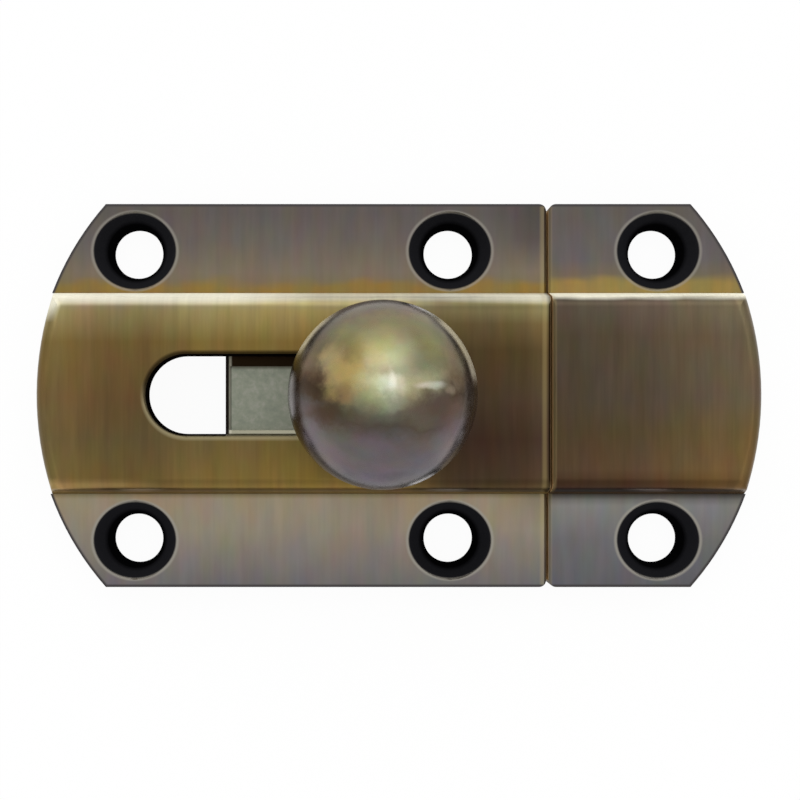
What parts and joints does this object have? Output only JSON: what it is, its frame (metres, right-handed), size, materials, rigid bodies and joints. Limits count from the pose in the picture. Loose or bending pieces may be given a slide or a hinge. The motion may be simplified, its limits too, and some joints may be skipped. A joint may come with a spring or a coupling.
{
  "type": "surface door bolt",
  "caption": "Surface door bolt: a ball knob slides a flat ribbed bolt out of a raised channel body into a matching keeper across the door's edge.",
  "frame": {"origin": "middle of the whole lock, body and keeper together, on the flat back that lies on the door", "axes": "+X along the bolt's throw towards the keeper, +Y across the flanges, +Z out of the door towards the knob"},
  "size_m": [0.0754, 0.04, 0.0257],
  "materials": {
    "cast_brass": "antique brass, brushed across the channel",
    "bolt_steel": "bare, dull grey",
    "polished_brass": "antique brass, polished",
    "screw_steel": "zinc plated",
    "strap_steel": "bare strip steel",
    "rivet_brass": "plain brass",
    "spring_steel": "blue spring steel"
  },
  "bodies": {
    "latch": {"latch_body": "cast_brass", "keeper": "cast_brass", "tail_strap": "strap_steel", "nose_strap": "strap_steel", "strap_rivets": "rivet_brass", "friction_spring": "spring_steel"},
    "bolt": {"slide_bolt": "bolt_steel", "knob": "polished_brass", "knob_screw": "screw_steel"}
  },
  "joints": [
    {"name": "bolt_slide", "type": "slide", "parent": "latch", "child": "bolt", "axis": [1, 0, 0], "range_m": [-0.0163, 0]}
  ]
}
